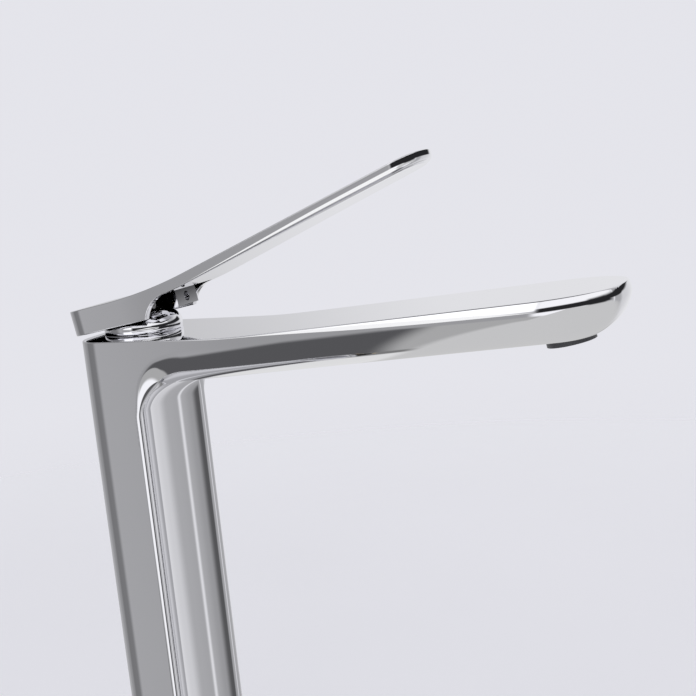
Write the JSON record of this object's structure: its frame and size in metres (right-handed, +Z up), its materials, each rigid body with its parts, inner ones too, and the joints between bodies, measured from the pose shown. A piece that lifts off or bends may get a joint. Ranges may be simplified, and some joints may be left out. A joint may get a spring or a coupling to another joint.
{
  "type": "tall basin faucet",
  "caption": "Tall single-lever basin mixer: hollow-fronted flat-sided column, slim boat-bottomed spout with aerator, and a long flat lever that lifts for flow and turns for heat.",
  "frame": {"origin": "on the deck surface, on the axis of the mounting shank", "axes": "+Z up, +X along the spout, +Y to the hot side's left when facing the spout's tip from behind"},
  "size_m": [0.2337, 0.062, 0.3664],
  "materials": {
    "chrome_cast": "polished chrome plate",
    "chrome_lever": "polished chrome plate",
    "grey_plastic": "moulded, satin",
    "pale_plastic": "moulded, matt",
    "ceramic": "lapped ceramic, stands in as gloss",
    "rubber_black": "plain",
    "brass_bare": "turned, unplated",
    "steel_plain": "plain stainless"
  },
  "bodies": {
    "faucet": {"spout_body": "chrome_cast", "base_plate": "chrome_cast", "dome_bonnet": "chrome_cast", "foot_screws": "steel_plain", "base_gasket": "rubber_black", "mounting_shank": "brass_bare", "rubber_washer": "rubber_black", "steel_washer": "steel_plain", "clamp_nut": "brass_bare", "cartridge_base": "pale_plastic", "port_seals": "rubber_black", "fixed_disc": "ceramic", "cartridge_housing": "pale_plastic", "cartridge_nut": "brass_bare", "bonnet_oring": "rubber_black", "aerator_housing": "grey_plastic", "aerator_insert": "grey_plastic", "aerator_screen": "steel_plain", "aerator_seal": "rubber_black"},
    "turret": {"rotor": "pale_plastic", "pivot_pin": "steel_plain"},
    "lever": {"lever_handle": "chrome_lever", "stem_socket": "chrome_lever", "handle_set_screw": "steel_plain", "lever_spindle": "brass_bare"},
    "shutter": {"moving_disc": "ceramic", "disc_carrier": "pale_plastic"}
  },
  "joints": [
    {"name": "mix_turn", "type": "hinge", "parent": "faucet", "child": "turret", "pos_m": [0.0045, 0, 0.2515], "axis": [0, 0, 1], "range_deg": [-45, 45]},
    {"name": "lever_lift", "type": "hinge", "parent": "turret", "child": "lever", "pos_m": [0.0045, 0, 0.2515], "axis": [0, -1, 0], "range_deg": [-17, 0]},
    {"name": "disc_slide", "type": "slide", "parent": "turret", "child": "shutter", "axis": [1, 0, 0], "range_m": [-0.0018, 0]}
  ],
  "couplings": [
    {"joint": "disc_slide", "follows": "lever_lift", "m_per_rad": 0.0059}
  ]
}
